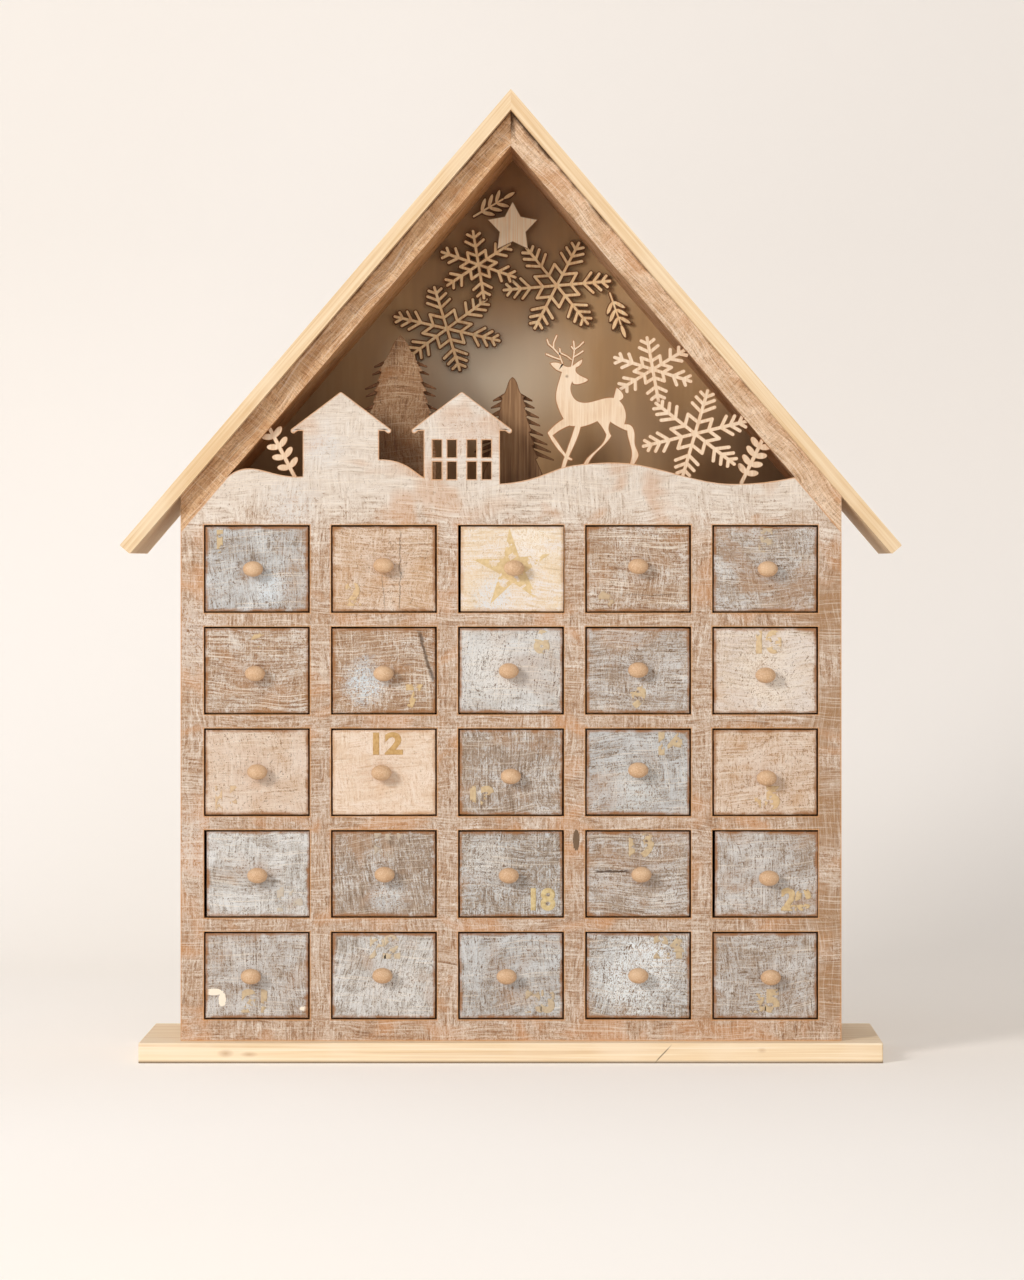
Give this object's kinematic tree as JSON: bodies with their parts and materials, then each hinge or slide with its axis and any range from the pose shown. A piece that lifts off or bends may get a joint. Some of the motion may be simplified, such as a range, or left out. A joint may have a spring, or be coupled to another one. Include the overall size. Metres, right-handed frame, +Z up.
{
  "type": "advent calendar",
  "caption": "House-shaped wooden advent calendar: a grid of numbered pull-out drawers with oval knobs under a gabled niche of cut-out winter scenery, on a base board.",
  "frame": {"origin": "middle of the base board's underside", "axes": "+Z up, +X to the right as seen from the front, -Y out of the front towards the viewer"},
  "size_m": [0.3676, 0.09, 0.4581],
  "materials": {
    "pine": "sanded pale pine",
    "washed_wood": "worn white wash over brown wood",
    "back_board": "smooth brown stain",
    "plain_ply": "unfinished plywood",
    "cutout_ply": "laser-cut plywood, browned edges",
    "fir_ply": "brown stained plywood",
    "back_ply": "tan plywood, burnt edges",
    "drawer_wash": "worn white wash, gold numerals",
    "screw_steel": "zinc plated"
  },
  "bodies": {
    "house": {"base_board": "pine", "roof_board_left": "pine", "roof_board_right": "pine", "front_panel": "washed_wood", "gable_board_left": "washed_wood", "gable_board_right": "washed_wood", "side_panel_left": "washed_wood", "side_panel_right": "washed_wood", "back_panel": "back_board", "bottom_panel": "plain_ply", "scene_deck": "plain_ply", "shelf_1": "plain_ply", "shelf_2": "plain_ply", "shelf_3": "plain_ply", "shelf_4": "plain_ply", "divider_1": "plain_ply", "divider_2": "plain_ply", "divider_3": "plain_ply", "divider_4": "plain_ply", "deer": "cutout_ply", "snowflake_front_upper": "cutout_ply", "snowflake_front_lower": "cutout_ply", "sprig_left": "cutout_ply", "sprig_right": "cutout_ply", "fir_left": "fir_ply", "fir_left_rear": "fir_ply", "fir_right": "fir_ply", "fir_right_rear": "fir_ply", "star": "back_ply", "snowflake_back_top": "back_ply", "snowflake_back_left": "back_ply", "snowflake_back_right": "back_ply", "sprig_back_right": "back_ply", "sprig_back_top": "back_ply", "base_screws": "screw_steel"},
    "drawer_01_body": {"drawer_01": "drawer_wash"},
    "drawer_02_body": {"drawer_02": "drawer_wash"},
    "drawer_03_body": {"drawer_03": "drawer_wash"},
    "drawer_04_body": {"drawer_04": "drawer_wash"},
    "drawer_05_body": {"drawer_05": "drawer_wash"},
    "drawer_06_body": {"drawer_06": "drawer_wash"},
    "drawer_07_body": {"drawer_07": "drawer_wash"},
    "drawer_08_body": {"drawer_08": "drawer_wash"},
    "drawer_09_body": {"drawer_09": "drawer_wash"},
    "drawer_10_body": {"drawer_10": "drawer_wash"},
    "drawer_11_body": {"drawer_11": "drawer_wash"},
    "drawer_12_body": {"drawer_12": "drawer_wash"},
    "drawer_13_body": {"drawer_13": "drawer_wash"},
    "drawer_14_body": {"drawer_14": "drawer_wash"},
    "drawer_15_body": {"drawer_15": "drawer_wash"},
    "drawer_16_body": {"drawer_16": "drawer_wash"},
    "drawer_17_body": {"drawer_17": "drawer_wash"},
    "drawer_18_body": {"drawer_18": "drawer_wash"},
    "drawer_19_body": {"drawer_19": "drawer_wash"},
    "drawer_20_body": {"drawer_20": "drawer_wash"},
    "drawer_21_body": {"drawer_21": "drawer_wash"},
    "drawer_22_body": {"drawer_22": "drawer_wash"},
    "drawer_23_body": {"drawer_23": "drawer_wash"},
    "drawer_24_body": {"drawer_24": "drawer_wash"},
    "drawer_25_body": {"drawer_25": "drawer_wash"}
  },
  "joints": [
    {"name": "drawer_01_slide", "type": "slide", "parent": "house", "child": "drawer_01_body", "axis": [0, -1, 0], "range_m": [0, 0.07]},
    {"name": "drawer_02_slide", "type": "slide", "parent": "house", "child": "drawer_02_body", "axis": [0, -1, 0], "range_m": [0, 0.07]},
    {"name": "drawer_03_slide", "type": "slide", "parent": "house", "child": "drawer_03_body", "axis": [0, -1, 0], "range_m": [-0.0015, 0.0685]},
    {"name": "drawer_04_slide", "type": "slide", "parent": "house", "child": "drawer_04_body", "axis": [0, -1, 0], "range_m": [0, 0.07]},
    {"name": "drawer_05_slide", "type": "slide", "parent": "house", "child": "drawer_05_body", "axis": [0, -1, 0], "range_m": [0, 0.07]},
    {"name": "drawer_06_slide", "type": "slide", "parent": "house", "child": "drawer_06_body", "axis": [0, -1, 0], "range_m": [0, 0.07]},
    {"name": "drawer_07_slide", "type": "slide", "parent": "house", "child": "drawer_07_body", "axis": [0, -1, 0], "range_m": [0, 0.07]},
    {"name": "drawer_08_slide", "type": "slide", "parent": "house", "child": "drawer_08_body", "axis": [0, -1, 0], "range_m": [0, 0.07]},
    {"name": "drawer_09_slide", "type": "slide", "parent": "house", "child": "drawer_09_body", "axis": [0, -1, 0], "range_m": [0, 0.07]},
    {"name": "drawer_10_slide", "type": "slide", "parent": "house", "child": "drawer_10_body", "axis": [0, -1, 0], "range_m": [0, 0.07]},
    {"name": "drawer_11_slide", "type": "slide", "parent": "house", "child": "drawer_11_body", "axis": [0, -1, 0], "range_m": [0, 0.07]},
    {"name": "drawer_12_slide", "type": "slide", "parent": "house", "child": "drawer_12_body", "axis": [0, -1, 0], "range_m": [0, 0.07]},
    {"name": "drawer_13_slide", "type": "slide", "parent": "house", "child": "drawer_13_body", "axis": [0, -1, 0], "range_m": [0, 0.07]},
    {"name": "drawer_14_slide", "type": "slide", "parent": "house", "child": "drawer_14_body", "axis": [0, -1, 0], "range_m": [0, 0.07]},
    {"name": "drawer_15_slide", "type": "slide", "parent": "house", "child": "drawer_15_body", "axis": [0, -1, 0], "range_m": [0, 0.07]},
    {"name": "drawer_16_slide", "type": "slide", "parent": "house", "child": "drawer_16_body", "axis": [0, -1, 0], "range_m": [0, 0.07]},
    {"name": "drawer_17_slide", "type": "slide", "parent": "house", "child": "drawer_17_body", "axis": [0, -1, 0], "range_m": [0, 0.07]},
    {"name": "drawer_18_slide", "type": "slide", "parent": "house", "child": "drawer_18_body", "axis": [0, -1, 0], "range_m": [0, 0.07]},
    {"name": "drawer_19_slide", "type": "slide", "parent": "house", "child": "drawer_19_body", "axis": [0, -1, 0], "range_m": [0, 0.07]},
    {"name": "drawer_20_slide", "type": "slide", "parent": "house", "child": "drawer_20_body", "axis": [0, -1, 0], "range_m": [0, 0.07]},
    {"name": "drawer_21_slide", "type": "slide", "parent": "house", "child": "drawer_21_body", "axis": [0, -1, 0], "range_m": [0, 0.07]},
    {"name": "drawer_22_slide", "type": "slide", "parent": "house", "child": "drawer_22_body", "axis": [0, -1, 0], "range_m": [0, 0.07]},
    {"name": "drawer_23_slide", "type": "slide", "parent": "house", "child": "drawer_23_body", "axis": [0, -1, 0], "range_m": [0, 0.07]},
    {"name": "drawer_24_slide", "type": "slide", "parent": "house", "child": "drawer_24_body", "axis": [0, -1, 0], "range_m": [0, 0.07]},
    {"name": "drawer_25_slide", "type": "slide", "parent": "house", "child": "drawer_25_body", "axis": [0, -1, 0], "range_m": [0, 0.07]}
  ]
}
